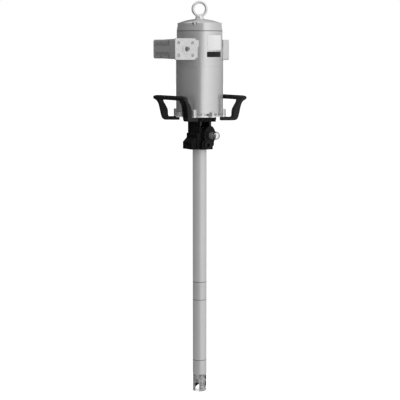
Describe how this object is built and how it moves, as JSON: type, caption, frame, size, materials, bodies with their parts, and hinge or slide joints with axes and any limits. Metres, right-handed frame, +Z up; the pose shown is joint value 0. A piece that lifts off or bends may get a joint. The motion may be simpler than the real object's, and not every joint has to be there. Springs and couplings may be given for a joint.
{
  "type": "pneumatic grease pump",
  "caption": "Air-operated grease pump: upright air motor with valve block, silencer and lifting eye, carrying handles, black outlet casting and long suction tube with slotted foot.",
  "frame": {"origin": "on the pump's axis where the suction tube leaves the outlet casting", "axes": "+Z up along the pump's axis to the lifting eye; the air valve is on -X, the silencer on +X and the air inlet faces -Y"},
  "size_m": [0.2305, 0.192, 1.1826],
  "materials": {
    "body_alloy": "satin silver-grey paint over cast alloy",
    "bright_alloy": "satin bare alloy",
    "zinc_steel": "zinc plated",
    "ground_steel": "fine ground",
    "hard_chrome": "polished",
    "tube_steel": "plated tube, matt",
    "foot_casting": "rough as cast, grey",
    "black_casting": "satin black paint",
    "black_steel": "black",
    "dark_steel": "dark plated",
    "black_plastic": "fine grained",
    "seal_rubber": "matt",
    "pale_polymer": "matt",
    "bearing_bronze": "machined"
  },
  "bodies": {
    "pump": {"motor_barrel": "body_alloy", "top_cover": "body_alloy", "cover_screws": "zinc_steel", "cover_seal": "seal_rubber", "lifting_eye": "zinc_steel", "piston_bumpers": "seal_rubber", "base_head": "bright_alloy", "base_seal": "seal_rubber", "rod_bushing": "bearing_bronze", "rod_seal": "seal_rubber", "base_bolts": "zinc_steel", "handle_screws": "zinc_steel", "left_handle": "black_plastic", "right_handle": "black_plastic", "valve_body": "body_alloy", "valve_gasket": "seal_rubber", "valve_side_cover": "body_alloy", "side_cover_screws": "zinc_steel", "front_end_cover": "bright_alloy", "rear_end_cover": "bright_alloy", "end_cover_screws": "zinc_steel", "spool_sleeve": "ground_steel", "silencer_housing": "body_alloy", "silencer_element": "pale_polymer", "silencer_cover": "body_alloy", "silencer_screws": "zinc_steel", "pump_casting": "black_casting", "casting_bolts": "black_steel", "gland_nut": "zinc_steel", "gland_packing": "seal_rubber", "outlet_plug": "black_steel", "relief_body": "dark_steel", "suction_tube": "tube_steel", "joining_sleeve": "tube_steel", "lower_tube": "tube_steel", "foot_valve_body": "tube_steel", "foot": "foot_casting", "pump_liner": "ground_steel", "foot_seat": "ground_steel", "ball_stop": "ground_steel"},
    "drive": {"air_piston": "bright_alloy", "piston_seal": "seal_rubber", "piston_guide": "pale_polymer", "piston_nut": "zinc_steel", "piston_rod": "hard_chrome", "rod_coupling": "ground_steel", "pump_rod": "ground_steel", "pump_piston": "ground_steel", "pump_packing": "pale_polymer"},
    "piston_check": {"piston_ball": "hard_chrome"},
    "foot_check": {"foot_ball": "hard_chrome"},
    "spool": {"valve_spool": "ground_steel", "spool_seals": "seal_rubber"},
    "upper_pilot": {"upper_pilot_pin": "ground_steel", "upper_pilot_spring": "ground_steel"},
    "lower_pilot": {"lower_pilot_pin": "ground_steel", "lower_pilot_spring": "ground_steel"},
    "bleed": {"bleed_knob": "hard_chrome"}
  },
  "joints": [
    {"name": "rod_stroke", "type": "slide", "parent": "pump", "child": "drive", "axis": [0, 0, 1], "range_m": [0, 0.15]},
    {"name": "piston_check_lift", "type": "slide", "parent": "drive", "child": "piston_check", "axis": [0, 0, 1], "range_m": [0, 0.004]},
    {"name": "foot_check_lift", "type": "slide", "parent": "pump", "child": "foot_check", "axis": [0, 0, 1], "range_m": [0, 0.005]},
    {"name": "spool_shift", "type": "slide", "parent": "pump", "child": "spool", "axis": [0, 1, 0], "range_m": [0, 0.01]},
    {"name": "upper_pilot_push", "type": "slide", "parent": "pump", "child": "upper_pilot", "axis": [0, 0, 1], "range_m": [0, 0.005], "stiffness_N_per_m": 1000, "springref_m": -0.002, "deforming": ["upper_pilot_spring"]},
    {"name": "lower_pilot_push", "type": "slide", "parent": "pump", "child": "lower_pilot", "axis": [0, 0, -1], "range_m": [0, 0.005], "stiffness_N_per_m": 1000, "springref_m": -0.002, "deforming": ["lower_pilot_spring"]},
    {"name": "bleed_turn", "type": "hinge", "parent": "pump", "child": "bleed", "pos_m": [0, 0, 0.041], "axis": [0.4226, -0.9063, 0], "range_deg": [0, 360]}
  ]
}
